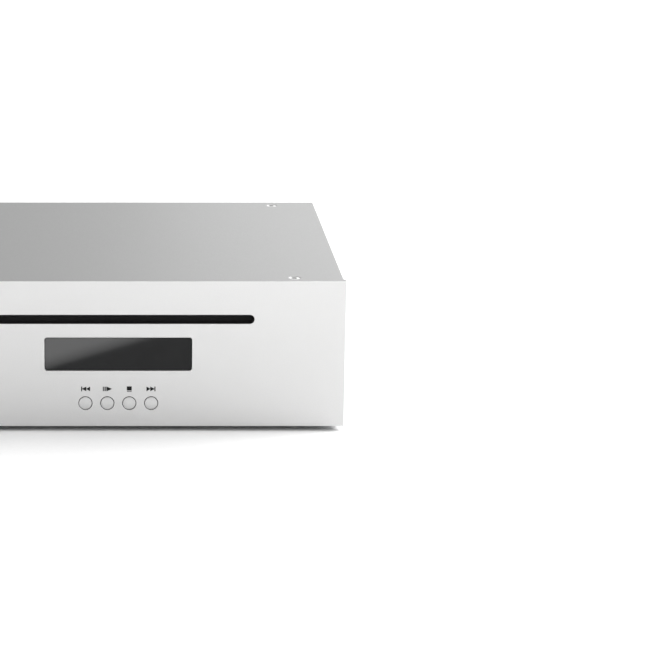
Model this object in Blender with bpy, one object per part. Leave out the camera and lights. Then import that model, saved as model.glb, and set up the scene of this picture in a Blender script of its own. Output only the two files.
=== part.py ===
"""Compact slot-loading disc player: an aluminium front panel on a folded steel case, with the whole
loading and playing mechanism inside.

Axes: +X to the right seen from the front, the front panel faces -Y, +Z up. The origin is the centre
of the bounding box at the height the feet stand on. Lengths below are millimetres and every object
is built in metres. Heights are counted from a datum DATUM below the surface the feet stand on.
"""
import math

import bmesh
import bpy
from mathutils import Matrix, Vector

MM = 0.001
GAP = 0.3                       # clearance between pieces that touch
DATUM = 1.9                     # how far the height datum lies below the feet's undersides

# Case
PANEL_HALF_W = 103.0
PANEL_FRONT = -100.0
PANEL_BACK = -95.7
PANEL_BOTTOM = 4.2
TOP = 72.0
COVER_HALF_W = 102.3
COVER_TOP = 71.7
COVER_WALL = 1.5
CASE_BACK = 94.0
SHEET = 1.2
TRAY_HALF_W = 99.8
TRAY_BOTTOM = 4.5
TRAY_TOP = 69.9
TRAY_FRONT = -94.1
SOCKET_END = 100.0

# Front panel features
SLOT_Z = 54.33
SLOT_HALF_W = 61.7
SLOT_R = 2.1
WINDOW_Z = 38.07
WINDOW_HALF = (33.55, 7.775)
BUTTON_X = (-15.0, -5.0, 5.0, 15.0)
BUTTON_Z = 15.05
BUTTON_HOLE_R = 3.2
BUTTON_R = 2.95
BUTTON_SAG = 0.15               # the caps rest low in their holes
COVER_SCREWS = ((80.0, -91.2), (-80.0, -91.2), (80.0, 84.8), (-80.0, 84.8))
FEET = ((78.0, -64.0), (-78.0, -64.0), (78.0, 72.0), (-78.0, 72.0))

# Loading mechanism
DISC_Y = -18.0                  # centre of a loaded disc
ROLLER_YZ = (-84.0, 49.7)
ROLLER_R = 4.0
BRACKET_PIVOT = (-68.0, 49.7)
GEAR_MODULE = 0.6
IDLER_YZ = (-84.0, 59.4)
LOAD_MOTOR_YZ = (-77.3, 64.65)

# Traverse deck, tilted down at rest so that a disc can pass over the turntable
DECK_HINGE = (53.0, 44.4)
DECK_DROP = 3.0                 # degrees
DECK_Z = (43.8, 45.0)
RAIL_X = 16.0
RAIL_Z = 41.5
LENS_Y = 5.0
SLED_GEAR_XY = (27.5, -3.0)
SLED_PINION_XY = (33.85, -14.0)

# Clamp arm, raised at rest
CLAMP_HINGE = (55.0, 60.6)
CLAMP_LIFT = 3.0                # degrees


for old in list(bpy.data.objects):
    bpy.data.objects.remove(old, do_unlink=True)

parts = bpy.data.collections.new("disc_player")
cutters = bpy.data.collections.new("cutters")
bpy.context.scene.collection.children.link(parts)
bpy.context.scene.collection.children.link(cutters)


# ---------------------------------------------------------------- helpers

def material(name, colour, roughness, metallic):
    mat = bpy.data.materials.new(name)
    mat.use_nodes = True
    shader = mat.node_tree.nodes["Principled BSDF"]
    shader.inputs["Base Color"].default_value = (*colour, 1.0)
    shader.inputs["Roughness"].default_value = roughness
    shader.inputs["Metallic"].default_value = metallic
    mat.diffuse_color = (*colour, 1.0)
    return mat


def finish(name, bm, finish_of, smooth=False, pivot=None):
    """Turn a bmesh in millimetres into a named object with its own material, origin at pivot."""
    bmesh.ops.remove_doubles(bm, verts=bm.verts, dist=1e-5)
    bmesh.ops.recalc_face_normals(bm, faces=bm.faces)
    origin = Vector(pivot) if pivot else Vector((0.0, 0.0, DATUM))
    bmesh.ops.translate(bm, verts=bm.verts, vec=-origin)
    bmesh.ops.scale(bm, verts=bm.verts, vec=(MM, MM, MM))
    origin.z -= DATUM
    mesh = bpy.data.meshes.new(name)
    bm.to_mesh(mesh)
    bm.free()
    if smooth:
        mesh.shade_smooth()
        mesh.set_sharp_from_angle(angle=math.radians(35.0))
    obj = bpy.data.objects.new(name, mesh)
    obj.location = origin * MM
    if finish_of is None:
        cutters.objects.link(obj)
        obj.hide_render = True
        obj.display_type = "WIRE"
    else:
        parts.objects.link(obj)
        mesh.materials.append(material(name, *finish_of))
    return obj


def add_box(bm, x, y, z):
    size = (x[1] - x[0], y[1] - y[0], z[1] - z[0])
    centre = ((x[0] + x[1]) / 2, (y[0] + y[1]) / 2, (z[0] + z[1]) / 2)
    place = Matrix.Translation(centre) @ Matrix.Diagonal((*size, 1.0))
    return bmesh.ops.create_cube(bm, size=1.0, matrix=place)["verts"]


def box(name, x, y, z, look, bevel=0.0, pivot=None):
    bm = bmesh.new()
    add_box(bm, x, y, z)
    if bevel:
        bmesh.ops.bevel(bm, geom=list(bm.edges), offset=bevel, segments=1, affect="EDGES")
    return finish(name, bm, look, pivot=pivot)


def add_prism(bm, outline, plane, start, end):
    """Extrude a closed outline of the XY, YZ or XZ plane along the third axis."""
    def lift(a, b, c):
        return {"XY": (a, b, c), "YZ": (c, a, b), "XZ": (a, c, b)}[plane]

    low = [bm.verts.new(lift(a, b, start)) for a, b in outline]
    high = [bm.verts.new(lift(a, b, end)) for a, b in outline]
    bm.faces.new(low)
    bm.faces.new(list(reversed(high)))
    count = len(outline)
    for i in range(count):
        j = (i + 1) % count
        bm.faces.new((low[j], low[i], high[i], high[j]))


def prism(name, outline, plane, start, end, look, smooth=False, pivot=None):
    bm = bmesh.new()
    add_prism(bm, outline, plane, start, end)
    return finish(name, bm, look, smooth, pivot)


def circle(a, b, r, count=20):
    return [(a + r * math.cos(2 * math.pi * i / count), b + r * math.sin(2 * math.pi * i / count))
            for i in range(count)]


def rounded(a0, a1, b0, b1, r, steps=4):
    """Rounded rectangle outline."""
    points = []
    corners = ((a1 - r, b1 - r, 0), (a0 + r, b1 - r, 90), (a0 + r, b0 + r, 180), (a1 - r, b0 + r, 270))
    for ca, cb, first in corners:
        for i in range(steps + 1):
            angle = math.radians(first + 90.0 * i / steps)
            points.append((ca + r * math.cos(angle), cb + r * math.sin(angle)))
    return points


def lathe(name, profile, axis, centre, look, steps=28, pivot=None):
    """Turn a (radius, height) profile, top to bottom on its outer side, about an axis line."""
    bm = bmesh.new()
    verts = [bm.verts.new((r, 0.0, h)) for r, h in profile]
    closed = profile[0][0] > 0.0
    pairs = list(zip(verts, verts[1:]))
    if closed:
        pairs.append((verts[-1], verts[0]))
    edges = [bm.edges.new(pair) for pair in pairs]
    bmesh.ops.spin(bm, geom=verts + edges, cent=(0, 0, 0), axis=(0, 0, 1), dvec=(0, 0, 0),
                   angle=2 * math.pi, steps=steps, use_merge=True, use_duplicate=False)
    turn = {"X": Matrix.Rotation(math.radians(90), 4, "Y"),
            "Y": Matrix.Rotation(math.radians(-90), 4, "X"),
            "Z": Matrix.Identity(4)}[axis]
    bmesh.ops.transform(bm, matrix=Matrix.Translation(centre) @ turn, verts=bm.verts)
    return finish(name, bm, look, True, pivot or centre)


def boolean(target, tool, operation):
    mod = target.modifiers.new(f"{operation.lower()} {tool.name}", "BOOLEAN")
    mod.object = tool
    mod.operation = operation
    mod.solver = "EXACT"


def cut(target, tool):
    boolean(target, tool, "DIFFERENCE")


def join(target, tool):
    boolean(target, tool, "UNION")


def tool_boxes(name, boxes):
    bm = bmesh.new()
    for x, y, z in boxes:
        add_box(bm, x, y, z)
    return finish(name, bm, None)


def tool_rounds(name, rounds, plane, count=14):
    """Several separate round bars: (a, b, radius, start, end) each."""
    bm = bmesh.new()
    for a, b, r, start, end in rounds:
        add_prism(bm, circle(a, b, r, count), plane, start, end)
    return finish(name, bm, None)


def gear_outline(centre, teeth, phase, shave=0.1, module=GEAR_MODULE):
    """Involute outline, 20 degree pressure angle, each tooth shaved to leave backlash."""
    pressure = math.radians(20.0)
    pitch = module * teeth / 2
    base = pitch * math.cos(pressure)
    tip = pitch + 0.85 * module
    root = pitch - 1.25 * module
    half = math.pi / (2 * teeth) - shave / (2 * pitch)

    def involute(angle):
        return math.tan(angle) - angle

    def half_angle(radius):
        inside = min(1.0, base / radius)
        return half + involute(pressure) - involute(math.acos(inside))

    radii = [root, pitch, tip]
    points = []
    for tooth in range(teeth):
        middle = phase + 2 * math.pi * tooth / teeth
        for side, order in ((-1, radii), (1, radii[::-1])):
            for radius in order:
                angle = middle + side * half_angle(max(radius, base))
                points.append((centre[0] + radius * math.cos(angle), centre[1] + radius * math.sin(angle)))
    return points


def pivot_empty(name, y, z, degrees):
    """Empty on a hinge line along X that carries a swung group at rest."""
    empty = bpy.data.objects.new(name, None)
    empty.location = (0.0, y * MM, (z - DATUM) * MM)
    empty.rotation_euler = (math.radians(degrees), 0.0, 0.0)
    parts.objects.link(empty)
    return empty


def hang(empty, first_parts, first_cutters):
    """Parent everything made since the two counts to the empty, keeping its own coordinates."""
    here = Matrix.Translation(-empty.location)
    for obj in list(parts.objects)[first_parts:] + list(cutters.objects)[first_cutters:]:
        if obj is not empty:
            obj.parent = empty
            obj.matrix_parent_inverse = here


# Colour (linear), roughness, metallic
ALUMINIUM = ((0.62, 0.62, 0.615), 0.42, 0.9)
COVER_FINISH = ((0.62, 0.62, 0.615), 0.42, 0.9)
GALVANISED = ((0.55, 0.57, 0.58), 0.4, 0.9)
STEEL = ((0.62, 0.62, 0.62), 0.28, 1.0)
BRIGHT = ((0.78, 0.78, 0.77), 0.2, 1.0)
BLACK_PLASTIC = ((0.02, 0.02, 0.022), 0.45, 0.0)
WHITE_PLASTIC = ((0.75, 0.74, 0.70), 0.45, 0.0)
RUBBER = ((0.018, 0.018, 0.018), 0.85, 0.0)
FELT = ((0.012, 0.012, 0.013), 0.95, 0.0)
SMOKED = ((0.02, 0.021, 0.022), 0.08, 0.0)
BOARD = ((0.02, 0.11, 0.05), 0.5, 0.0)

# ---------------------------------------------------------------- case

front_panel = box("front_panel", (-PANEL_HALF_W, PANEL_HALF_W), (PANEL_FRONT, PANEL_BACK),
                  (PANEL_BOTTOM, TOP), ALUMINIUM, bevel=0.2)
slot_outline = rounded(-SLOT_HALF_W, SLOT_HALF_W, SLOT_Z - SLOT_R, SLOT_Z + SLOT_R, SLOT_R - 0.001, 8)
window_outline = rounded(-WINDOW_HALF[0], WINDOW_HALF[0], WINDOW_Z - WINDOW_HALF[1],
                         WINDOW_Z + WINDOW_HALF[1], 1.15)
cut(front_panel, prism("slot_cut", slot_outline, "XZ", PANEL_FRONT - 1, PANEL_BACK + 1, None))
cut(front_panel, prism("window_cut", window_outline, "XZ", PANEL_FRONT - 1, PANEL_BACK + 1, None))
cut(front_panel, tool_rounds("button_holes", [(x, BUTTON_Z, BUTTON_HOLE_R, PANEL_FRONT - 1, PANEL_BACK + 1)
                                              for x in BUTTON_X], "XZ", 24))

window_face = rounded(-WINDOW_HALF[0] + GAP, WINDOW_HALF[0] - GAP, WINDOW_Z - WINDOW_HALF[1] + GAP,
                      WINDOW_Z + WINDOW_HALF[1] - GAP, 0.9)
display_window = prism("display_window", window_face, "XZ", PANEL_FRONT + 0.35, -94.9, SMOKED)
join(display_window, tool_boxes("window_flange", [((-35.3, 35.3), (-95.4, -94.4),
                                                   (WINDOW_Z - 9.2, WINDOW_Z + 9.2))]))

tray_profile = [(TRAY_FRONT, TRAY_BOTTOM), (92.2, TRAY_BOTTOM), (92.2, TRAY_BOTTOM + SHEET),
                (TRAY_FRONT + 1.0, TRAY_BOTTOM + SHEET), (TRAY_FRONT + 1.0, TRAY_TOP - SHEET),
                (-86.0, TRAY_TOP - SHEET), (-86.0, TRAY_TOP), (TRAY_FRONT, TRAY_TOP)]
base_tray = prism("base_tray", tray_profile, "YZ", -TRAY_HALF_W, TRAY_HALF_W, GALVANISED)
join(base_tray, tool_rounds("board_pillars", [(x, y, 2.5, TRAY_BOTTOM + 0.6, 8.7)
                                              for x in (-88.0, 88.0) for y in (-4.0, 82.0)], "XY"))
join(base_tray, tool_rounds("board_studs", [(x, 18.0, 1.8, TRAY_FRONT + 0.5, -89.1)
                                            for x in (-22.0, 22.0)], "XZ"))
cut(base_tray, tool_boxes("tray_front_openings", [
    ((-63.5, 63.5), (-95.0, -92.0), (SLOT_Z - 4, SLOT_Z + 4)),
    ((-32.0, 32.0), (-95.0, -92.0), (WINDOW_Z - 6.5, WINDOW_Z + 6.5))]))
cut(base_tray, tool_rounds("tray_button_holes", [(x, BUTTON_Z, 4.3, -95.0, -92.0) for x in BUTTON_X], "XZ"))
cut(base_tray, tool_rounds("tray_screw_holes", [(x, y, 1.65, 68.0, 71.0) for x, y in COVER_SCREWS[:2]],
                           "XY"))

rear_profile = [(92.5, TRAY_BOTTOM), (93.7, TRAY_BOTTOM), (93.7, TRAY_TOP), (76.0, TRAY_TOP),
                (76.0, TRAY_TOP - SHEET), (92.5, TRAY_TOP - SHEET)]
rear_panel = prism("rear_panel", rear_profile, "YZ", -TRAY_HALF_W, TRAY_HALF_W, GALVANISED)
cut(rear_panel, tool_rounds("rear_screw_holes", [(x, y, 1.65, 68.0, 71.0) for x, y in COVER_SCREWS[2:]],
                            "XY"))
PHONO_X = {"phono_left": -85.0, "phono_right": -68.0, "coax_out": -50.0}
SOCKET_Z = 24.0
OPTICAL_X = -30.0
DC_X = 82.0
SWITCH_X = 56.0
cut(rear_panel, tool_rounds("phono_holes", [(x, SOCKET_Z, 4.5, 91.0, 95.0) for x in PHONO_X.values()]
                            + [(DC_X, SOCKET_Z, 5.5, 91.0, 95.0)], "XZ"))
cut(rear_panel, tool_boxes("square_holes", [((OPTICAL_X - 5.0, OPTICAL_X + 5.0), (91.0, 95.0), (19.0, 29.0)),
                                            ((SWITCH_X - 6.8, SWITCH_X + 6.8), (91.0, 95.0), (14.0, 34.0))]))

bend = 0.4
outer = [(COVER_HALF_W - bend * (1 - math.cos(a)), COVER_TOP - bend * (1 - math.sin(a)))
         for a in (math.radians(30 * i) for i in range(4))]
inner_w = COVER_HALF_W - COVER_WALL
cover_profile = [(COVER_HALF_W, TRAY_BOTTOM)] + outer
cover_profile += [(-x, z) for x, z in reversed(outer)]
cover_profile += [(-COVER_HALF_W, TRAY_BOTTOM), (-inner_w, TRAY_BOTTOM), (-inner_w, COVER_TOP - COVER_WALL),
                  (inner_w, COVER_TOP - COVER_WALL), (inner_w, TRAY_BOTTOM)]
top_cover = prism("top_cover", cover_profile, "XZ", -95.4, CASE_BACK, COVER_FINISH)
for index, (x, y) in enumerate(COVER_SCREWS):
    sink = [(0, 72.5), (3.0, 72.5), (3.0, 71.7), (1.65, 70.35), (1.65, 69.0), (0, 69.0)]
    cut(top_cover, lathe(f"countersink_{index + 1}", sink, "Z", (x, y, 0), None, 16))

for index, (x, y) in enumerate(COVER_SCREWS):
    head = [(0, 71.6), (2.4, 71.6), (2.65, 71.45), (1.45, 70.25), (1.45, 66.0), (0, 66.0)]
    screw = lathe(f"cover_screw_{index + 1}", head, "Z", (x, y, 0), BRIGHT, 16)
    cut(screw, prism(f"socket_{index + 1}", circle(x, y, 1.5, 6), "XY", 70.5, 72.5, None))

for index, (x, y) in enumerate(FEET):
    foot = [(0, 4.2), (8.7, 4.2), (9.0, 3.9), (9.0, 2.4), (8.5, DATUM), (0, DATUM)]
    lathe(f"foot_{index + 1}", foot, "Z", (x, y, 0), RUBBER, 20)

# ---------------------------------------------------------------- front panel fittings

for name, x in zip(("previous", "play", "stop", "next"), BUTTON_X):
    # Height runs along -Y: the cap's face first, then the flange behind the panel, then the stem
    cap = [(0, 99.6), (BUTTON_R - 0.12, 99.6), (BUTTON_R, 99.48), (BUTTON_R, 95.35), (3.8, 95.35),
           (3.8, 94.6), (1.2, 94.6), (1.2, 91.2), (0, 91.2)]
    cap = [(r, -h) for r, h in cap]
    rest = BUTTON_Z - BUTTON_SAG
    lathe(f"button_{name}", cap, "Y", (x, 0, rest), ALUMINIUM, 24, pivot=(x, PANEL_FRONT + 0.4, rest))

button_board = box("button_board", (-25.0, 25.0), (-88.8, -87.4), (9.5, 20.5), BOARD)
join(button_board, tool_boxes("tact_switches", [((x - 2.3, x + 2.3), (-90.4, -88.5),
                                                 (BUTTON_Z - 2.3, BUTTON_Z + 2.3)) for x in BUTTON_X]))

display_module = box("display_module", (-37.0, 37.0), (-92.8, -89.6), (28.2, 47.9), BLACK_PLASTIC)
join(display_module, tool_boxes("display_glass", [((-31.0, 31.0), (-94.1, -92.5),
                                                   (WINDOW_Z - 6.1, WINDOW_Z + 6.1))]))

box("dust_lip_upper", (-64.0, 64.0), (-95.4, -94.4), (56.6, 60.6), FELT)
box("dust_lip_lower", (-64.0, 64.0), (-95.4, -94.4), (48.0, 52.1), FELT)

# ---------------------------------------------------------------- transport frame

FRAME_Y = (-88.8, 60.0)
FRAME_X = 70.0
WALL_IN = FRAME_X - SHEET
frame_profile = [(-FRAME_X, 30.0), (FRAME_X, 30.0), (FRAME_X, 64.0), (WALL_IN, 64.0), (WALL_IN, 31.2),
                 (-WALL_IN, 31.2), (-WALL_IN, 64.0), (-FRAME_X, 64.0)]
transport_frame = prism("transport_frame", frame_profile, "XZ", *FRAME_Y, GALVANISED)
cut(transport_frame, tool_boxes("frame_opening", [((-50.0, 50.0), (-62.0, 46.0), (29.0, 33.0))]))
cut(transport_frame, tool_boxes("roller_shaft_slots", [((-72.0, -67.0), (-87.6, -79.5), (42.5, 53.5)),
                                                       ((67.0, 72.0), (-87.6, -79.5), (42.5, 53.5))]))
cut(transport_frame, tool_rounds("frame_pivot_holes", [
    (*DECK_HINGE, 1.8, -72.0, -67.0), (*DECK_HINGE, 1.8, 67.0, 72.0),
    (*CLAMP_HINGE, 1.5, -72.0, -67.0), (*CLAMP_HINGE, 1.5, 67.0, 72.0)], "YZ"))
join(transport_frame, tool_boxes("motor_ear", [((-FRAME_X, -WALL_IN), (-83.0, -70.0), (63.0, 69.6))]))
cut(transport_frame, tool_rounds("motor_shaft_hole", [(*LOAD_MOTOR_YZ, 1.2, -72.0, -67.0)], "YZ"))
join(transport_frame, tool_rounds("frame_pins", [
    (*IDLER_YZ, 1.2, -75.6, -69.4),
    (*BRACKET_PIVOT, 1.5, -69.4, -66.4), (*BRACKET_PIVOT, 1.5, 66.4, 69.4),
    (-60.0, 44.0, 1.2, 69.4, 73.0), (20.0, 44.0, 1.2, 69.4, 73.0)], "YZ"))

for index, (x, y) in enumerate(((62.0, -78.0), (-62.0, -78.0), (62.0, 53.0), (-62.0, 53.0))):
    waist = [(0, 29.7), (5.0, 29.7), (5.0, 26.0), (3.6, 24.5), (3.6, 22.0), (5.0, 20.5), (5.0, 6.0), (0, 6.0)]
    lathe(f"damper_post_{index + 1}", waist, "Z", (x, y, 0), RUBBER, 14)

upper_guide = box("upper_guide", (-68.5, 68.5), (-88.5, 48.0), (57.4, 58.6), BLACK_PLASTIC)
join(upper_guide, tool_boxes("guide_rib", [((-64.0, 64.0), (-88.5, -86.5), (56.6, 58.0))]))
cut(upper_guide, tool_rounds("clamper_hole", [(0.0, DISC_Y, 18.0, 55.0, 60.0)], "XY", 28))
cut(upper_guide, tool_boxes("guide_windows", [((-52.0, -30.0), (-60.0, -6.0), (55.0, 60.0)),
                                              ((30.0, 52.0), (-60.0, -6.0), (55.0, 60.0))]))

# ---------------------------------------------------------------- loading roller

arm = [(-87.0, 47.2), (-86.2, 52.2), (-66.0, 52.4), (-65.4, 47.8), (-71.0, 40.6), (-76.0, 40.6)]
roller_bracket = prism("roller_bracket", arm, "YZ", -68.2, 68.2, BLACK_PLASTIC,
                       pivot=(0, *BRACKET_PIVOT))
bracket_hollow = [(-90.0, 42.4), (-90.0, 60.0), (-60.0, 60.0), (-60.0, 42.4)]
cut(roller_bracket, prism("bracket_hollow", bracket_hollow, "YZ", -67.0, 67.0, None))
cut(roller_bracket, tool_rounds("bracket_bores", [
    (*BRACKET_PIVOT, 1.8, -69.0, -66.5), (*BRACKET_PIVOT, 1.8, 66.5, 69.0),
    (*ROLLER_YZ, 1.8, -69.0, -66.5), (*ROLLER_YZ, 1.8, 66.5, 69.0)], "YZ"))

# Height runs along +X: rubber sleeve waisted towards the middle, on a steel shaft
roller = [(0, 68.2), (1.5, 68.2), (1.5, 63.5), (3.9, 63.5), (ROLLER_R, 62.0), (3.1, 6.0), (3.1, -6.0),
          (ROLLER_R, -62.0), (3.9, -63.5), (1.5, -63.5), (1.5, -75.4), (0, -75.4)]
lathe("load_roller", roller, "X", (0, *ROLLER_YZ), RUBBER, 16)


def spur(name, centre, teeth, phase, plane, start, end, bore, look):
    wheel = prism(name, gear_outline(centre, teeth, phase), plane, start, end, look,
                  pivot=((start + end) / 2, *centre) if plane == "YZ" else (*centre, (start + end) / 2))
    if bore:
        cut(wheel, tool_rounds(f"{name}_bore", [(*centre, bore, start - 1, end + 1)], plane, 12))
    return wheel


def direction(start, end):
    return math.atan2(end[1] - start[1], end[0] - start[0])


ROLLER_TEETH = 16
IDLER_TEETH = 16
LOAD_TEETH = 12
up = direction(ROLLER_YZ, IDLER_YZ)
idler_phase = up + math.pi + math.pi / IDLER_TEETH
onward = direction(IDLER_YZ, LOAD_MOTOR_YZ)
# Where the idler's teeth stand towards the pinion sets the pinion's own phase
lead = (onward - idler_phase) * IDLER_TEETH
load_phase = onward + math.pi + math.pi / LOAD_TEETH + lead / LOAD_TEETH
spur("roller_gear", ROLLER_YZ, ROLLER_TEETH, up, "YZ", -75.0, -71.5, 1.8, WHITE_PLASTIC)
spur("idler_gear", IDLER_YZ, IDLER_TEETH, idler_phase, "YZ", -75.0, -71.5, 1.5, WHITE_PLASTIC)
load_pinion = spur("load_pinion", LOAD_MOTOR_YZ, LOAD_TEETH, load_phase, "YZ", -75.0, -71.5, 0,
                   WHITE_PLASTIC)
join(load_pinion, tool_rounds("load_shaft", [(*LOAD_MOTOR_YZ, 0.8, -72.0, -66.5)], "YZ", 10))
load_motor = prism("load_motor", circle(*LOAD_MOTOR_YZ, 4.7, 20), "YZ", -68.5, -50.0, STEEL, smooth=True)
cut(load_motor, tool_rounds("load_motor_bore", [(*LOAD_MOTOR_YZ, 1.1, -69.0, -66.0)], "YZ", 10))

# Cam slider on the right wall, with guide slots for the frame's pins
cam_slider = box("cam_slider", (70.4, 72.0), (-78.0, 30.0), (37.0, 51.0), BLACK_PLASTIC)
cut(cam_slider, tool_boxes("slider_slots", [((69.0, 73.0), (-69.8, -58.4), (42.4, 45.6)),
                                            ((69.0, 73.0), (10.2, 21.6), (42.4, 45.6))]))
ramp = [(-50.0, 40.0), (-40.0, 40.0), (-30.0, 45.6), (-20.0, 45.6), (-20.0, 48.6), (-31.0, 48.6),
        (-41.0, 43.0), (-50.0, 43.0)]
cut(cam_slider, prism("slider_ramp", ramp, "YZ", 69.0, 73.0, None))

# ---------------------------------------------------------------- traverse deck group

deck_empty = pivot_empty("deck_pivot", *DECK_HINGE, DECK_DROP)
mark = (len(parts.objects), len(cutters.objects))

traverse_deck = box("traverse_deck", (-48.0, 48.0), (-44.0, 54.6), DECK_Z, GALVANISED,
                    pivot=(0, *DECK_HINGE))
cut(traverse_deck, tool_boxes("sled_window", [((-11.0, 11.0), (-3.0, 46.5), (42.0, 47.0))]))
cut(traverse_deck, tool_rounds("spindle_hole", [(0.0, DISC_Y, 4.0, 42.0, 47.0)], "XY"))
join(traverse_deck, tool_rounds("deck_rod", [(*DECK_HINGE, 1.5, -70.2, 70.2)], "YZ"))
join(traverse_deck, tool_boxes("rail_lugs", [((side * 16.0 - 2.5, side * 16.0 + 2.5), ends, (39.5, 44.2))
                                             for side in (-1, 1) for ends in ((-7.0, -4.3), (46.9, 49.6))]))
join(traverse_deck, tool_rounds("gear_axle", [(*SLED_GEAR_XY, 1.0, 35.8, 44.2)], "XY", 10))

motor_can = [(0, 43.5), (12.0, 43.5), (12.0, 34.0), (11.0, 33.0), (0, 33.0)]
spindle_motor = lathe("spindle_motor", motor_can, "Z", (0, DISC_Y, 0), STEEL, 24)
cut(spindle_motor, tool_rounds("spindle_bore", [(0.0, DISC_Y, 1.4, 40.5, 44.0)], "XY", 10))

table = [(0, 55.6), (4.5, 55.6), (7.0, 54.6), (7.4, 53.4), (15.0, 53.7), (15.0, 50.9), (5.0, 50.9),
         (5.0, 48.0), (1.0, 48.0), (1.0, 41.0), (0, 41.0)]
lathe("turntable", table, "Z", (0, DISC_Y, 0), BLACK_PLASTIC, 24)

for index, side in enumerate((-1, 1)):
    prism(f"guide_rod_{index + 1}", circle(side * RAIL_X, RAIL_Z, 1.25, 16), "XZ", -4.0, 46.6, BRIGHT,
          smooth=True)

pickup_sled = box("pickup_sled", (-19.0, 19.0), (-1.0, 12.0), (38.8, 43.4), BLACK_PLASTIC)
join(pickup_sled, tool_boxes("sled_head", [((-9.0, 9.0), (-1.0, 12.0), (43.0, 49.5))]))
RACK_X = SLED_GEAR_XY[0] - GEAR_MODULE * 8 - 0.1
pitch = math.pi * GEAR_MODULE
tooth = pitch / 2 - 0.12
slope = 0.85 * GEAR_MODULE * math.tan(math.radians(20.0))
rack = [(RACK_X - 3.2, 12.0), (RACK_X - 3.2, -40.0)]
first = math.ceil((-39.4 - SLED_GEAR_XY[1]) / pitch - 0.5)
last = math.floor((11.4 - SLED_GEAR_XY[1]) / pitch - 0.5)
rack.append((RACK_X - 1.2 * GEAR_MODULE, -40.0))
for step in range(first, last + 1):
    middle = SLED_GEAR_XY[1] + (step + 0.5) * pitch
    low = 1.2 * GEAR_MODULE * math.tan(math.radians(20.0))
    rack.append((RACK_X - 1.2 * GEAR_MODULE, middle - tooth / 2 - low))
    rack.append((RACK_X + 0.85 * GEAR_MODULE, middle - tooth / 2 + slope))
    rack.append((RACK_X + 0.85 * GEAR_MODULE, middle + tooth / 2 - slope))
    rack.append((RACK_X - 1.2 * GEAR_MODULE, middle + tooth / 2 + low))
rack.append((RACK_X - 1.2 * GEAR_MODULE, 12.0))
join(pickup_sled, prism("sled_rack", rack, "XY", 40.3, 42.3, None))
join(pickup_sled, tool_boxes("rack_root", [((18.0, RACK_X - 1.0), (0.5, 11.0), (40.5, 42.1))]))
cut(pickup_sled, tool_rounds("rail_bores", [(side * RAIL_X, RAIL_Z, 1.55, -3.0, 14.0) for side in (-1, 1)],
                             "XZ", 12))

lens = [(0, 51.6), (1.2, 51.6), (2.2, 51.2), (2.2, 49.9), (0, 49.9)]
lathe("objective_lens", lens, "Z", (0, LENS_Y, 0), SMOKED, 14)

SLED_SMALL = 16
SLED_LARGE = 30
SLED_PINION = 12
sled_gear = spur("sled_gear", SLED_GEAR_XY, SLED_SMALL, math.pi, "XY", 37.0, 42.6, 0, WHITE_PLASTIC)
sled_onward = direction(SLED_GEAR_XY, SLED_PINION_XY)
join(sled_gear, prism("sled_large_wheel", gear_outline(SLED_GEAR_XY, SLED_LARGE, sled_onward), "XY",
                      36.2, 37.7, None))
cut(sled_gear, tool_rounds("sled_gear_bore", [(*SLED_GEAR_XY, 1.3, 35.0, 44.0)], "XY", 10))
sled_pinion = spur("sled_pinion", SLED_PINION_XY, SLED_PINION, sled_onward + math.pi + math.pi / SLED_PINION,
                   "XY", 36.0, 38.0, 0, WHITE_PLASTIC)
join(sled_pinion, tool_rounds("sled_shaft", [(*SLED_PINION_XY, 0.8, 37.5, 40.4)], "XY", 10))
sled_motor = prism("sled_motor", circle(*SLED_PINION_XY, 6.3, 20), "XY", 38.4, 43.5, STEEL, smooth=True)
cut(sled_motor, tool_rounds("sled_motor_bore", [(*SLED_PINION_XY, 1.1, 38.0, 40.8)], "XY", 10))

hang(deck_empty, *mark)

# ---------------------------------------------------------------- clamp arm group

clamp_empty = pivot_empty("clamp_pivot", *CLAMP_HINGE, -CLAMP_LIFT)
mark = (len(parts.objects), len(cutters.objects))

arm_outline = [(-66.0, 51.0), (-30.0, 51.0), (-12.0, DISC_Y - 8.0), (-8.0, DISC_Y - 12.0),
               (8.0, DISC_Y - 12.0), (12.0, DISC_Y - 8.0), (30.0, 51.0), (66.0, 51.0), (66.0, 57.5),
               (-66.0, 57.5)]
clamp_arm = prism("clamp_arm", arm_outline, "XY", 60.0, 61.2, GALVANISED, pivot=(0, *CLAMP_HINGE))
join(clamp_arm, tool_rounds("clamp_rod", [(*CLAMP_HINGE, 1.2, -69.8, 69.8)], "YZ", 10))
cut(clamp_arm, tool_rounds("arm_hole", [(0.0, DISC_Y, 5.6, 58.0, 63.0)], "XY", 20))
cut(clamp_arm, tool_boxes("arm_window", [((-14.0, 14.0), (16.0, 42.0), (58.0, 63.0))]))

puck = [(0, 63.2), (7.6, 63.2), (8.0, 62.8), (8.0, 61.8), (5.0, 61.8), (5.0, 57.4), (13.6, 57.4),
        (14.0, 57.0), (14.0, 55.2), (8.4, 55.2), (8.4, 56.2), (0, 56.2)]
lathe("clamper", puck, "Z", (0, DISC_Y, 0), WHITE_PLASTIC, 24)

hang(clamp_empty, *mark)

# ---------------------------------------------------------------- electronics and rear sockets

main_board = box("main_board", (-93.0, 93.0), (-10.0, 89.5), (9.0, 10.6), BOARD)
cut(main_board, tool_rounds("post_clearance", [(x, 53.0, 6.0, 8.0, 12.0) for x in (-62.0, 62.0)], "XY"))
for index, (x, y) in enumerate(((6.0, 72.0), (26.0, 72.0))):
    can = [(0, 39.0), (7.6, 39.0), (8.0, 38.6), (8.0, 10.9), (0, 10.9)]
    lathe(f"capacitor_{index + 1}", can, "Z", (x, y, 0), BLACK_PLASTIC, 20)

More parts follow.
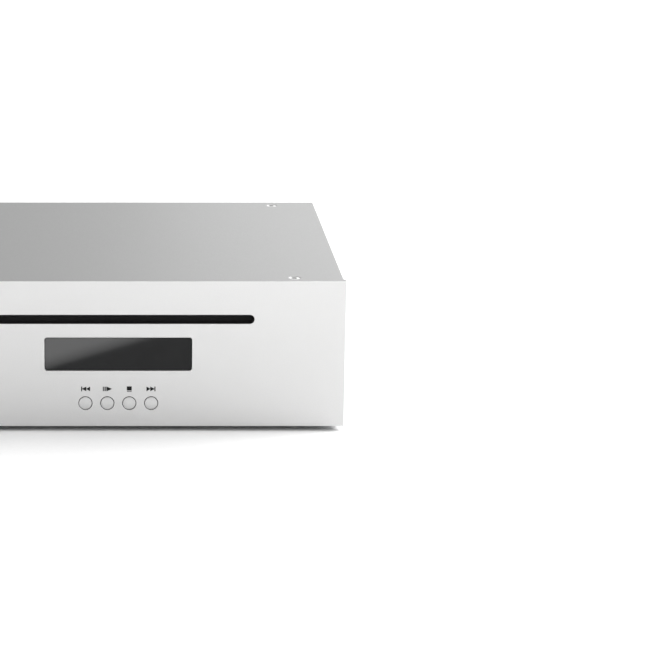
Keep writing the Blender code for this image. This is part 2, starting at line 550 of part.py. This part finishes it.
fins = [(64.0, 66.0), (90.0, 66.0), (90.0, 68.0)]
for step in range(5):
    left = 90.0 - 5.5 * step
    fins += [(left, 76.0), (left - 1.6, 76.0), (left - 1.6, 68.0), (left - 5.5, 68.0)]
fins = fins[:-1] + [(64.0, 68.0)]
prism("heat_sink", fins, "XY", 10.9, 44.0, BLACK_PLASTIC)
shield_can = box("shield_can", (-48.0, 34.0), (4.0, 44.0), (10.9, 19.0), BRIGHT, bevel=0.4)

for name, x in PHONO_X.items():
    body = box(name, (x - 6.0, x + 6.0), (80.0, 92.2), (10.9, 30.0), BLACK_PLASTIC)
    join(body, tool_rounds(f"{name}_barrel", [(x, SOCKET_Z, 4.15, 92.0, SOCKET_END)], "XZ", 18))
    cut(body, tool_rounds(f"{name}_bore", [(x, SOCKET_Z, 1.7, 88.0, SOCKET_END + 1)], "XZ", 10))

optical_out = box("optical_out", (OPTICAL_X - 6.5, OPTICAL_X + 6.5), (80.0, 92.2), (10.9, 31.0),
                  BLACK_PLASTIC)
join(optical_out, tool_boxes("optical_nose", [((OPTICAL_X - 4.7, OPTICAL_X + 4.7), (92.0, 95.6),
                                               (19.3, 28.7))]))
cut(optical_out, tool_boxes("optical_port", [((OPTICAL_X - 3.0, OPTICAL_X + 3.0), (87.0, 97.0),
                                              (SOCKET_Z - 3.0, SOCKET_Z + 3.0))]))

dc_inlet = box("dc_inlet", (DC_X - 5.5, DC_X + 5.5), (78.0, 92.2), (10.9, 30.0), BLACK_PLASTIC)
join(dc_inlet, tool_rounds("dc_collar", [(DC_X, SOCKET_Z, 5.2, 92.0, 95.4)], "XZ", 18))
cut(dc_inlet, prism("dc_bore", circle(DC_X, SOCKET_Z, 3.1, 16), "XZ", 84.0, 97.0, None))
join(dc_inlet, tool_rounds("dc_pin", [(DC_X, SOCKET_Z, 1.2, 83.0, 94.4)], "XZ", 12))

switch_housing = box("switch_housing", (SWITCH_X - 6.5, SWITCH_X + 6.5), (82.0, 94.8), (14.3, 33.7),
                     BLACK_PLASTIC)
join(switch_housing, tool_boxes("switch_bezel", [((SWITCH_X - 8.0, SWITCH_X + 8.0), (94.0, 95.4),
                                                  (12.8, 35.2))]))
cut(switch_housing, tool_boxes("switch_well", [((SWITCH_X - 5.2, SWITCH_X + 5.2), (87.0, 97.0),
                                                (15.6, 32.4))]))
rocker = [(89.0, 26.5), (93.0, 31.4), (98.4, 31.4), (97.0, SOCKET_Z), (95.4, 16.8), (93.0, 16.6),
          (89.0, 21.5)]
switch_rocker = prism("switch_rocker", rocker, "YZ", SWITCH_X - 4.8, SWITCH_X + 4.8, BLACK_PLASTIC,
                      pivot=(SWITCH_X, 92.0, SOCKET_Z))

# Flat flexible cable from the button board, along the floor, up to the main board
path = [(-87.1, 15.0), (-82.0, 15.0), (-79.0, 12.0), (-79.0, 9.0), (-76.5, 6.7), (-19.0, 6.7), (-14.5, 9.5),
        (-13.0, 13.0), (-10.0, 14.4), (-4.0, 14.4), (-2.0, 12.6), (-2.0, 11.0)]


def band(points, half):
    """Outline of an open path widened to both sides, mitred at its bends."""
    sides = ([], [])
    for i, point in enumerate(points):
        before = Vector(points[i]) - Vector(points[i - 1]) if i else None
        after = Vector(points[i + 1]) - Vector(point) if i + 1 < len(points) else None
        along = (before.normalized() if before else Vector((0, 0))) + (after.normalized() if after
                                                                      else Vector((0, 0)))
        along.normalize()
        normal = Vector((-along.y, along.x))
        stretch = 1.0 if not (before and after) else 1.0 / max(0.5, abs(normal.dot(
            Vector((-before.y, before.x)).normalized())))
        for side, sign in zip(sides, (1, -1)):
            side.append(tuple(Vector(point) + normal * half * sign * stretch))
    return sides[0] + sides[1][::-1]


prism("ribbon_cable", band(path, 0.2), "YZ", -8.0, 8.0, WHITE_PLASTIC)
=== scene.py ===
"""Looks of the compact slot-loading disc player: materials for every CAD node, the finer pieces that
replace or finish some of them, a plain studio floor with soft light, and the camera."""

import math

import bmesh
import bpy
from mathutils import Matrix, Vector


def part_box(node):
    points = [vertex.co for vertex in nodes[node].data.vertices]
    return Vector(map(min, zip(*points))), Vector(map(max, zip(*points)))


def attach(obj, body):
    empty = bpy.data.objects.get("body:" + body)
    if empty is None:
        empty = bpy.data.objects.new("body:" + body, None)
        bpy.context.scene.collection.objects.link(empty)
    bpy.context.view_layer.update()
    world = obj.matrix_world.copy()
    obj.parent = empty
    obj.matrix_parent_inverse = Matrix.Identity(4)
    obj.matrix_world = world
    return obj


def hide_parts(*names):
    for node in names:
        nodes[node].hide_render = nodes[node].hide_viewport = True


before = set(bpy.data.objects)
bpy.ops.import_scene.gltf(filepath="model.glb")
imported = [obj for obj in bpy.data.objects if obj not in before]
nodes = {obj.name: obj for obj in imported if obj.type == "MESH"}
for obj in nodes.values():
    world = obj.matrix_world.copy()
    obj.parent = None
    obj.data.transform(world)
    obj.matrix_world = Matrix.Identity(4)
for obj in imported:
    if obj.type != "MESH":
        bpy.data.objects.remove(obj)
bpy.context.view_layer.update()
scene = bpy.context.scene
MM = 0.001
CASE = "case"


# ---------------------------------------------------------------- materials

class Surface:
    """A Principled material with object-space noise to build its grain from."""

    def __init__(self, name, colour, roughness, metallic):
        self.material = bpy.data.materials.new(name)
        self.material.use_nodes = True
        self.tree = self.material.node_tree
        self.shader = self.tree.nodes["Principled BSDF"]
        self.colour = (*colour, 1.0)
        self.shader.inputs["Base Color"].default_value = self.colour
        self.shader.inputs["Roughness"].default_value = roughness
        self.shader.inputs["Metallic"].default_value = metallic
        self.roughness = roughness
        self.place = self.tree.nodes.new("ShaderNodeTexCoord").outputs["Object"]
        self.normal = None
        self.current = None

    def link(self, source, target):
        self.tree.links.new(source, target)

    def noise(self, scale, detail=3.0, stretch=(1.0, 1.0, 1.0)):
        mapping = self.tree.nodes.new("ShaderNodeMapping")
        mapping.inputs["Scale"].default_value = stretch
        self.link(self.place, mapping.inputs["Vector"])
        texture = self.tree.nodes.new("ShaderNodeTexNoise")
        texture.inputs["Scale"].default_value = scale
        texture.inputs["Detail"].default_value = detail
        self.link(mapping.outputs["Vector"], texture.inputs["Vector"])
        return texture.outputs["Fac"]

    def spread(self, value, low, high):
        """Map the middle of a noise value to the span low..high."""
        ranged = self.tree.nodes.new("ShaderNodeMapRange")
        ranged.inputs["From Min"].default_value = 0.3
        ranged.inputs["From Max"].default_value = 0.7
        ranged.inputs["To Min"].default_value = low
        ranged.inputs["To Max"].default_value = high
        self.link(value, ranged.inputs["Value"])
        return ranged.outputs["Result"]

    def tint(self, value, other):
        """Blend the colour so far towards another by a 0..1 value."""
        mix = self.tree.nodes.new("ShaderNodeMix")
        mix.data_type = "RGBA"
        mix.inputs["A"].default_value = self.colour
        mix.inputs["B"].default_value = (*other, 1.0)
        if self.current:
            self.link(self.current, mix.inputs["A"])
        self.link(value, mix.inputs["Factor"])
        self.current = mix.outputs["Result"]
        self.link(self.current, self.shader.inputs["Base Color"])
        return self

    def rough(self, value, change):
        self.link(self.spread(value, self.roughness - change, self.roughness + change),
                  self.shader.inputs["Roughness"])
        return self

    def bump(self, value, depth, strength=1.0):
        node = self.tree.nodes.new("ShaderNodeBump")
        node.inputs["Strength"].default_value = strength
        node.inputs["Distance"].default_value = depth
        self.link(value, node.inputs["Height"])
        if self.normal:
            self.link(self.normal, node.inputs["Normal"])
        self.normal = node.outputs["Normal"]
        self.link(self.normal, self.shader.inputs["Normal"])
        return self


def scaled(colour, factor):
    return tuple(min(1.0, c * factor) for c in colour)


def grained(name, colour, roughness, metallic, scale, contrast=0.1, depth=0.00002, stretch=(1, 1, 1),
            patches=0.04):
    """Fine grain in colour, roughness and relief, over faint broad patches."""
    surface = Surface(name, colour, roughness, metallic)
    fine = surface.noise(scale, 2.0, stretch)
    broad = surface.noise(22.0, 3.0)
    surface.tint(surface.spread(fine, 0.0, 1.0), scaled(colour, 1.0 - contrast))
    surface.tint(surface.spread(broad, 0.0, 0.5), scaled(colour, 1.0 - patches))
    surface.rough(fine, 0.05)
    surface.bump(fine, depth)
    return surface


def spangled(name, colour, roughness):
    """Zinc-coated sheet: large angular crystals of slightly different brightness."""
    surface = Surface(name, colour, roughness, 0.9)
    cells = surface.tree.nodes.new("ShaderNodeTexVoronoi")
    cells.inputs["Scale"].default_value = 160.0
    surface.link(surface.place, cells.inputs["Vector"])
    surface.tint(cells.outputs["Distance"], scaled(colour, 0.82))
    fine = surface.noise(900.0)
    surface.tint(surface.spread(fine, 0.0, 0.5), scaled(colour, 1.12))
    surface.rough(surface.noise(160.0), 0.07)
    surface.bump(fine, 0.00001)
    return surface


PANEL = (0.604, 0.604, 0.602)
M = {
    "anodised": grained("anodised_aluminium", PANEL, 0.42, 0.85, 2600.0, 0.07, 0.00001, patches=0.012),
    "button": grained("turned_aluminium", PANEL, 0.40, 0.85, 2600.0, 0.07, 0.00001, patches=0.012),
    # Edge faces of the plate: the panel's aluminium at half its brightness, as painted shade
    "edge": grained("panel_edge_painted_shade", (0.293, 0.293, 0.292), 0.45, 0.7, 2600.0, 0.06, 0.00001,
                    patches=0.012),
    # Near black, as painted shade in the slot, the button holes, round the caps and in the screw sockets
    "shade": grained("recess_painted_shade", (0.012, 0.012, 0.012), 0.7, 0.0, 1800.0, 0.3, 0.00002),
    # The top cover: the panel's grey aluminium at half its brightness, as painted shade
    "cover": grained("cover_painted_shade", (0.291, 0.292, 0.291), 0.45, 0.7, 3200.0, 0.05, 0.00001,
                     patches=0.02),
    "zinc": spangled("zinc_sheet", (0.52, 0.54, 0.55), 0.38),
    "steel": grained("drawn_steel", (0.58, 0.58, 0.58), 0.3, 1.0, 700.0, 0.15, 0.00001, (1, 1, 0.1)),
    "bright": grained("plated_steel", (0.76, 0.76, 0.75), 0.2, 1.0, 900.0, 0.08, 0.000004),
    "screw": grained("plated_screws", (0.62, 0.62, 0.615), 0.3, 1.0, 900.0, 0.08, 0.000004),
    "black": grained("moulded_black", (0.016, 0.016, 0.017), 0.5, 0.0, 1800.0, 0.35, 0.00003),
    "white": grained("natural_acetal", (0.68, 0.67, 0.62), 0.42, 0.0, 900.0, 0.06, 0.00001),
    "rubber": grained("moulded_rubber", (0.014, 0.014, 0.014), 0.82, 0.0, 1300.0, 0.4, 0.00005),
    "board": grained("solder_mask", (0.012, 0.085, 0.04), 0.36, 0.0, 1400.0, 0.3, 0.00002),
}

window = Surface("smoked_window", (0.0065, 0.0067, 0.0069), 0.05, 0.0)
window.tint(window.spread(window.noise(60.0), 0.0, 1.0), (0.009, 0.0093, 0.0096))
window.rough(window.noise(1500.0), 0.012)
window.shader.inputs["Specular IOR Level"].default_value = 0.16
M["window"] = window

felt = Surface("black_felt", (0.004, 0.004, 0.0044), 0.95, 0.0)
pile = felt.noise(3500.0, 4.0, (0.3, 1.0, 1.0))
felt.tint(felt.spread(pile, 0.0, 1.0), (0.010, 0.010, 0.011))
felt.bump(pile, 0.0002)
felt.shader.inputs["Sheen Weight"].default_value = 0.12
felt.shader.inputs["Sheen Roughness"].default_value = 0.6
M["felt"] = felt

ink = Surface("screen_print", (0.003, 0.003, 0.003), 0.55, 0.0)
ink.tint(ink.spread(ink.noise(2500.0), 0.0, 1.0), (0.007, 0.007, 0.007))
ink.shader.inputs["Specular IOR Level"].default_value = 0.2
M["ink"] = ink
pale_ink = Surface("pale_screen_print", (0.10, 0.10, 0.10), 0.5, 0.0)
pale_ink.tint(pale_ink.spread(pale_ink.noise(2500.0), 0.0, 1.0), (0.14, 0.14, 0.14))
M["pale_ink"] = pale_ink
M["red"] = grained("red_insulator", (0.45, 0.02, 0.015), 0.4, 0.0, 1200.0, 0.15, 0.00001)
M["ivory"] = grained("white_insulator", (0.72, 0.72, 0.69), 0.4, 0.0, 1200.0, 0.06, 0.00001)
M["amber"] = grained("amber_insulator", (0.60, 0.22, 0.02), 0.4, 0.0, 1200.0, 0.12, 0.00001)

WEARS = {
    "anodised": ["front_panel"],
    "button": ["button_previous", "button_play", "button_stop", "button_next"],
    "cover": ["top_cover"],
    "zinc": ["base_tray", "rear_panel", "transport_frame", "traverse_deck", "clamp_arm"],
    "steel": ["load_motor", "spindle_motor", "sled_motor"],
    "bright": ["guide_rod_1", "guide_rod_2", "shield_can"],
    "screw": [f"cover_screw_{i}" for i in range(1, 5)],
    "black": ["display_module", "upper_guide", "roller_bracket", "cam_slider", "turntable", "pickup_sled",
              "capacitor_1", "capacitor_2", "heat_sink", "optical_out", "dc_inlet", "switch_housing",
              "switch_rocker", "phono_left", "phono_right", "coax_out"],
    "white": ["roller_gear", "idler_gear", "load_pinion", "sled_gear", "sled_pinion", "clamper",
              "ribbon_cable"],
    "rubber": [f"foot_{i}" for i in range(1, 5)] + [f"damper_post_{i}" for i in range(1, 5)]
    + ["load_roller"],
    "board": ["button_board", "main_board"],
    "window": ["display_window", "objective_lens"],
    "felt": ["dust_lip_upper", "dust_lip_lower"],
}
for look, names in WEARS.items():
    for name in names:
        mesh = nodes[name].data
        mesh.materials.clear()
        mesh.materials.append(M[look].material)


# ---------------------------------------------------------------- pieces

def piece(name, bm, look, body=CASE, smooth=True):
    """A mesh built in millimetres, as an object that rides on a body."""
    bmesh.ops.recalc_face_normals(bm, faces=bm.faces)
    bmesh.ops.scale(bm, verts=bm.verts, vec=(MM, MM, MM))
    mesh = bpy.data.meshes.new(name)
    bm.to_mesh(mesh)
    bm.free()
    if smooth:
        mesh.shade_smooth()
        mesh.set_sharp_from_angle(angle=math.radians(35.0))
    mesh.materials.append(M[look].material)
    obj = bpy.data.objects.new(name, mesh)
    scene.collection.objects.link(obj)
    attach(obj, body)
    return obj


def slab(bm, outline, y0, y1):
    """Extrude an (x, z) outline from y0 to y1."""
    front = [bm.verts.new((x, y0, z)) for x, z in outline]
    back = [bm.verts.new((x, y1, z)) for x, z in outline]
    bm.faces.new(front)
    bm.faces.new(back[::-1])
    for i in range(len(outline)):
        j = (i + 1) % len(outline)
        bm.faces.new((front[j], front[i], back[i], back[j]))


def oblong(x0, x1, z0, z1):
    return [(x0, z0), (x1, z0), (x1, z1), (x0, z1)]


def seal(name, node, z_far, z_lip):
    """Flocked strip behind the slot, its free edge rounded off at z_lip."""
    low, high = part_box(node)
    sign = 1.0 if z_lip > z_far else -1.0
    y0, y1 = low[1] / MM, high[1] / MM
    x0, x1 = low[0] / MM, high[0] / MM
    middle, half = (y0 + y1) / 2, (y1 - y0) / 2
    profile = [(y0, z_far), (y0, z_lip - sign * half)]
    for step in range(1, 8):
        angle = math.pi * step / 8
        profile.append((middle - half * math.cos(angle), z_lip - sign * half * (1 - math.sin(angle))))
    profile += [(y1, z_lip - sign * half), (y1, z_far)]
    bm = bmesh.new()
    count = 60
    rings = []
    for step in range(count + 1):
        x = x0 + (x1 - x0) * step / count
        rings.append([bm.verts.new((x, y, z)) for y, z in profile])
    for one, two in zip(rings, rings[1:]):
        for i in range(len(profile)):
            j = (i + 1) % len(profile)
            bm.faces.new((one[i], one[j], two[j], two[i]))
    bm.faces.new(rings[0])
    bm.faces.new(rings[-1][::-1])
    obj = piece(name, bm, "felt")
    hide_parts(node)
    return obj


# The lips meet just above the middle of the slot
seal("slot_seal_upper", "dust_lip_upper", 58.7, 52.88)
seal("slot_seal_lower", "dust_lip_lower", 46.1, 52.78)


def fill_spline(spline, outline):
    """Give a closed spline the points of an (x, z) outline in millimetres."""
    spline.points.add(len(outline) - 1)
    for point, (x, z) in zip(spline.points, outline):
        point.co = (x * MM, z * MM, 0.0, 1.0)
    spline.use_cyclic_u = True


def rounded_oblong(x0, x1, z0, z1, radius, steps):
    """Outline of a rectangle with round corners, anticlockwise from its lower right corner."""
    outline = []
    corners = ((x1 - radius, z0 + radius, -90), (x1 - radius, z1 - radius, 0),
               (x0 + radius, z1 - radius, 90), (x0 + radius, z0 + radius, 180))
    for x, z, start in corners:
        for step in range(steps + 1):
            angle = math.radians(start + 90.0 * step / steps)
            outline.append((x + radius * math.cos(angle), z + radius * math.sin(angle)))
    return outline


def ring(x, z, radius, count=64):
    """Outline of a circle."""
    return [(x + radius * math.cos(math.tau * i / count), z + radius * math.sin(math.tau * i / count))
            for i in range(count)]


# Front panel features, in millimetres
SLOT_Z = 52.43
SLOT_HALF = 2.1
SLOT_HALF_W = 61.7
WINDOW_X = (-33.55, 33.55)
WINDOW_Z = (28.395, 43.945)
BUTTON_Z = 13.15
BUTTONS = (-15.0, -5.0, 5.0, 15.0)
HOLE_R = 3.2
CAP_SAG = 0.15
SOCKET_Z = 22.1


def cut_panel():
    """Thick front plate with its slot, window and button holes, every edge broken by a fine chamfer."""
    low, high = (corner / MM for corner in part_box("front_panel"))
    curve = bpy.data.curves.new("panel_outline", "CURVE")
    curve.dimensions = "2D"
    curve.fill_mode = "BOTH"
    chamfer = 0.05
    curve.extrude = ((high.y - low.y) / 2 - chamfer) * MM
    curve.bevel_depth = chamfer * MM
    curve.bevel_resolution = 0
    curve.offset = -chamfer * MM
    outlines = [rounded_oblong(low.x, high.x, low.z, high.z, 0.05, 1),
                rounded_oblong(-SLOT_HALF_W, SLOT_HALF_W, SLOT_Z - SLOT_HALF, SLOT_Z + SLOT_HALF,
                               SLOT_HALF - 0.01, 16),
                rounded_oblong(*WINDOW_X, *WINDOW_Z, 1.15, 8)]
    outlines += [ring(x, BUTTON_Z, HOLE_R) for x in BUTTONS]
    for outline in outlines:
        fill_spline(curve.splines.new("POLY"), outline)
    holder = bpy.data.objects.new("panel_outline", curve)
    scene.collection.objects.link(holder)
    bpy.context.view_layer.update()
    shape = holder.evaluated_get(bpy.context.evaluated_depsgraph_get())
    bm = bmesh.new()
    flat = bpy.data.meshes.new_from_object(shape)
    bm.from_mesh(flat)
    bpy.data.objects.remove(holder)
    bmesh.ops.remove_doubles(bm, verts=bm.verts, dist=0.000001)
    bmesh.ops.scale(bm, verts=bm.verts, vec=(1.0 / MM,) * 3)
    for vert in bm.verts:
        vert.co = Vector((vert.co.x, (low.y + high.y) / 2 - vert.co.z, vert.co.y))
    return bm


# The plate's front is anodised; its outer edge faces wear the same aluminium at half brightness as
# painted shade, and the slot and hole walls are near black as painted shade
panel = piece("panel_plate", cut_panel(), "anodised")
panel.data.materials.append(M["edge"].material)
panel.data.materials.append(M["shade"].material)
for face in panel.data.polygons:
    centre = face.center / MM
    inside_slot = abs(centre.x) < SLOT_HALF_W + 0.8 and abs(centre.z - SLOT_Z) < SLOT_HALF + 0.3
    inside_hole = any(math.hypot(centre.x - x, centre.z - BUTTON_Z) < HOLE_R + 0.2 for x in BUTTONS)
    if (inside_slot or inside_hole) and abs(face.normal.y) < 0.5:
        face.material_index = 2
    elif abs(face.normal.y) < 0.5:
        face.material_index = 1
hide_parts("front_panel")


def turned(bm, profile, x, z, count=64):
    """Revolve (radius, y) points about the line through (x, z) along Y."""
    rings = []
    for radius, y in profile:
        if radius == 0.0:
            rings.append([bm.verts.new((x, y, z))])
            continue
        rings.append([bm.verts.new((x + radius * math.cos(math.tau * i / count), y,
                                    z + radius * math.sin(math.tau * i / count))) for i in range(count)])
    for one, two in zip(rings, rings[1:]):
        for i in range(count):
            j = (i + 1) % count
            corners = [one[i % len(one)], one[j % len(one)], two[j % len(two)], two[i % len(two)]]
            bm.faces.new(list(dict.fromkeys(corners)))


# A cap's outline as (radius, y): its face, its skirt, the flange behind the panel and the stem
CAP = [(0.0, -99.6), (2.83, -99.6), (2.9, -99.57), (2.95, -99.48), (2.95, -95.35), (3.8, -95.35),
       (3.8, -94.6), (1.2, -94.6), (1.2, -91.2), (0.0, -91.2)]
for name, x in zip(("previous", "play", "stop", "next"), BUTTONS):
    bm = bmesh.new()
    turned(bm, CAP, x, BUTTON_Z - CAP_SAG)
    cap = piece(f"cap_{name}", bm, "button", body=f"button_{name}_body")
    # The skirt, flange and stem of each cap are near black: painted shade in the gap round the cap
    cap.data.materials.append(M["shade"].material)
    for face in cap.data.polygons:
        if face.center.y / MM > -99.45:
            face.material_index = 1
    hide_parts(f"button_{name}")

# Sockets of the cover screws: a near-black hexagonal plug in each bright head, as painted shade in the
# socket
for index in range(1, 5):
    low, high = (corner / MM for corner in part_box(f"cover_screw_{index}"))
    x, y = (low.x + high.x) / 2, (low.y + high.y) / 2
    bm = bmesh.new()
    floor_z = high.z - 1.05
    rim = [bm.verts.new((x + 1.42 * math.cos(math.tau * i / 6), y + 1.42 * math.sin(math.tau * i / 6), z))
           for z in (floor_z, floor_z + 0.98) for i in range(6)]
    bm.faces.new(rim[:6][::-1])
    bm.faces.new(rim[6:])
    for i in range(6):
        j = (i + 1) % 6
        bm.faces.new((rim[i], rim[j], rim[6 + j], rim[6 + i]))
    piece(f"screw_socket_painted_shade_{index}", bm, "shade", smooth=False)

# Printed symbols over the buttons
PRINT = (-100.02, -99.99)
ICON_Z = 19.88


def icon(name, outlines, look="ink"):
    bm = bmesh.new()
    for outline in outlines:
        slab(bm, outline, *PRINT)
    return piece(name, bm, look, smooth=False)


def arrow(x_tip, x_base, half):
    return [(x_tip, ICON_Z), (x_base, ICON_Z - half), (x_base, ICON_Z + half)]


ICON_HALF = 1.12
for name, x, way in (("previous", -15.0, -1.0), ("next", 15.0, 1.0)):
    bar = sorted((x + way * 1.45, x + way * 1.95))
    icon(f"symbol_{name}", [arrow(x - way * 0.3, x - way * 2.15, ICON_HALF),
                            arrow(x + way * 1.7, x - way * 0.45, ICON_HALF),
                            oblong(*bar, ICON_Z - ICON_HALF, ICON_Z + ICON_HALF)])
icon("symbol_play", [arrow(-2.85, -5.3, ICON_HALF)])
icon("symbol_pause", [oblong(-7.1, -6.3, ICON_Z - 1.05, ICON_Z + 1.05),
                      oblong(-6.15, -5.4, ICON_Z - 1.05, ICON_Z + 1.05)], "pale_ink")
icon("symbol_stop", [oblong(3.88, 6.12, ICON_Z - 0.75, ICON_Z + 1.2)])
icon("symbol_eject", [oblong(3.9, 6.1, ICON_Z - 1.4, ICON_Z - 1.0)], "pale_ink")

# Plated shells and coloured insulators of the rear sockets
for node, look in (("phono_left", "ivory"), ("phono_right", "red"), ("coax_out", "amber")):
    low, high = (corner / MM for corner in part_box(node))
    x = (low.x + high.x) / 2
    bm = bmesh.new()
    turned(bm, [(4.17, 96.3), (4.3, 96.4), (4.3, 99.8), (4.15, 99.98), (3.55, 99.98), (3.5, 99.6),
                (3.5, 96.3), (4.17, 96.3)], x, SOCKET_Z)
    piece(f"{node}_shell", bm, "bright")
    bm = bmesh.new()
    turned(bm, [(4.17, 94.0), (5.4, 94.0), (5.4, 94.8), (5.2, 95.0), (4.17, 95.0), (4.17, 94.0)], x,
           SOCKET_Z)
    piece(f"{node}_ring", bm, look)

# ---------------------------------------------------------------- floor, light, camera

floor_mesh = bpy.data.meshes.new("studio_floor")
bm = bmesh.new()
bmesh.ops.create_grid(bm, x_segments=1, y_segments=1, size=6.0)
bm.to_mesh(floor_mesh)
bm.free()
floor = bpy.data.objects.new("studio_floor", floor_mesh)
scene.collection.objects.link(floor)
paper = Surface("studio_paper", (0.90, 0.90, 0.90), 0.9, 0.0)
paper.tint(paper.spread(paper.noise(400.0), 0.0, 1.0), (0.88, 0.88, 0.88))
floor_mesh.materials.append(paper.material)

world = bpy.data.worlds.new("studio")
scene.world = world
world.use_nodes = True
background = world.node_tree.nodes["Background"]
background.inputs["Color"].default_value = (1.0, 1.0, 1.0, 1.0)
background.inputs["Strength"].default_value = 0.87


def area_light(name, position, target, size, power):
    data = bpy.data.lights.new(name, "AREA")
    data.shape = "RECTANGLE"
    data.size, data.size_y = size
    data.energy = power
    obj = bpy.data.objects.new(name, data)
    obj.location = position
    obj.rotation_euler = (Vector(target) - Vector(position)).to_track_quat("-Z", "Y").to_euler()
    obj.visible_camera = False
    scene.collection.objects.link(obj)
    return obj


LIGHTS = {
    "right_softbox": ((0.55, 0.05, 0.40), (0.05, 0.0, 0.07), (0.5, 0.5), 6.2),
    "back_softbox": ((0.70, 1.2, 0.5), (0.05, 0.0, 0.07), (1.0, 0.8), 0.6),
    "back_left_softbox": ((0.50, 1.2, 0.5), (0.05, 0.0, 0.07), (1.0, 0.8), 2.25),
    "floor_wash": ((0.15, -0.80, 0.35), (0.15, -0.7999, 0.0), (1.2, 0.5), 6.2),
}
for name, values in LIGHTS.items():
    light = area_light(name, *values)
    if name == "floor_wash":
        light.data.spread = math.radians(100.0)

# The far floor is washed out to white by a light that reaches nothing else
ground = bpy.data.collections.new("lit_ground")
ground.objects.link(floor)
far_wash = area_light("far_floor_wash", (0.3, 2.0, 1.2), (0.3, 2.0001, 0.0), (4.0, 2.4), 26.0)
far_wash.light_linking.receiver_collection = ground

# Light lying in front of the player that only the window mirrors: a bright far-left side with a soft
# diagonal edge
edge_from = Vector((-0.0320, -0.2108, 0.0))
edge_to = Vector((0.0168, -0.2709, 0.0))
edge = (edge_to - edge_from).normalized()
across = Vector((edge.y, -edge.x, 0.0))
down = Vector((0.0, 0.0, -1.0))
sheen = area_light("window_sheen", (0.0, 0.0, 0.0), (0.0, 0.0, 1.0), (0.16, 0.30), 1.2)
sheen.rotation_euler = Matrix((across, down.cross(across), down)).transposed().to_euler()
sheen.location = (edge_from + edge_to) / 2 + across * 0.08 + Vector((0.0, 0.0, 0.0012))
sheen.data.use_nodes = True
tree = sheen.data.node_tree
place = tree.nodes.new("ShaderNodeNewGeometry")
split = tree.nodes.new("ShaderNodeSeparateXYZ")
fade = tree.nodes.new("ShaderNodeMapRange")
fade.inputs["From Min"].default_value = 0.0
fade.inputs["From Max"].default_value = 0.1125
tree.links.new(place.outputs["Parametric"], split.inputs["Vector"])
tree.links.new(split.outputs["X"], fade.inputs["Value"])
bend = tree.nodes.new("ShaderNodeMath")
bend.operation = "POWER"
bend.inputs[1].default_value = 0.6
tree.links.new(fade.outputs["Result"], bend.inputs[0])
tree.links.new(bend.outputs["Value"], tree.nodes["Emission"].inputs["Strength"])
lit = bpy.data.collections.new("mirrors_sheen")
lit.objects.link(nodes["display_window"])
sheen.light_linking.receiver_collection = lit

camera_data = bpy.data.cameras.new("camera")
camera = bpy.data.objects.new("camera", camera_data)
scene.collection.objects.link(camera)
scene.camera = camera
camera.location = (0.0, -1.205, 0.3141)
camera.rotation_euler = (math.radians(90.0 - 13.45), 0.0, 0.0)
camera_data.sensor_width = 36.0
camera_data.lens = 138.9
camera_data.shift_x = 0.318
camera_data.clip_start = 0.05
camera_data.clip_end = 50.0

scene.view_settings.view_transform = "Standard"
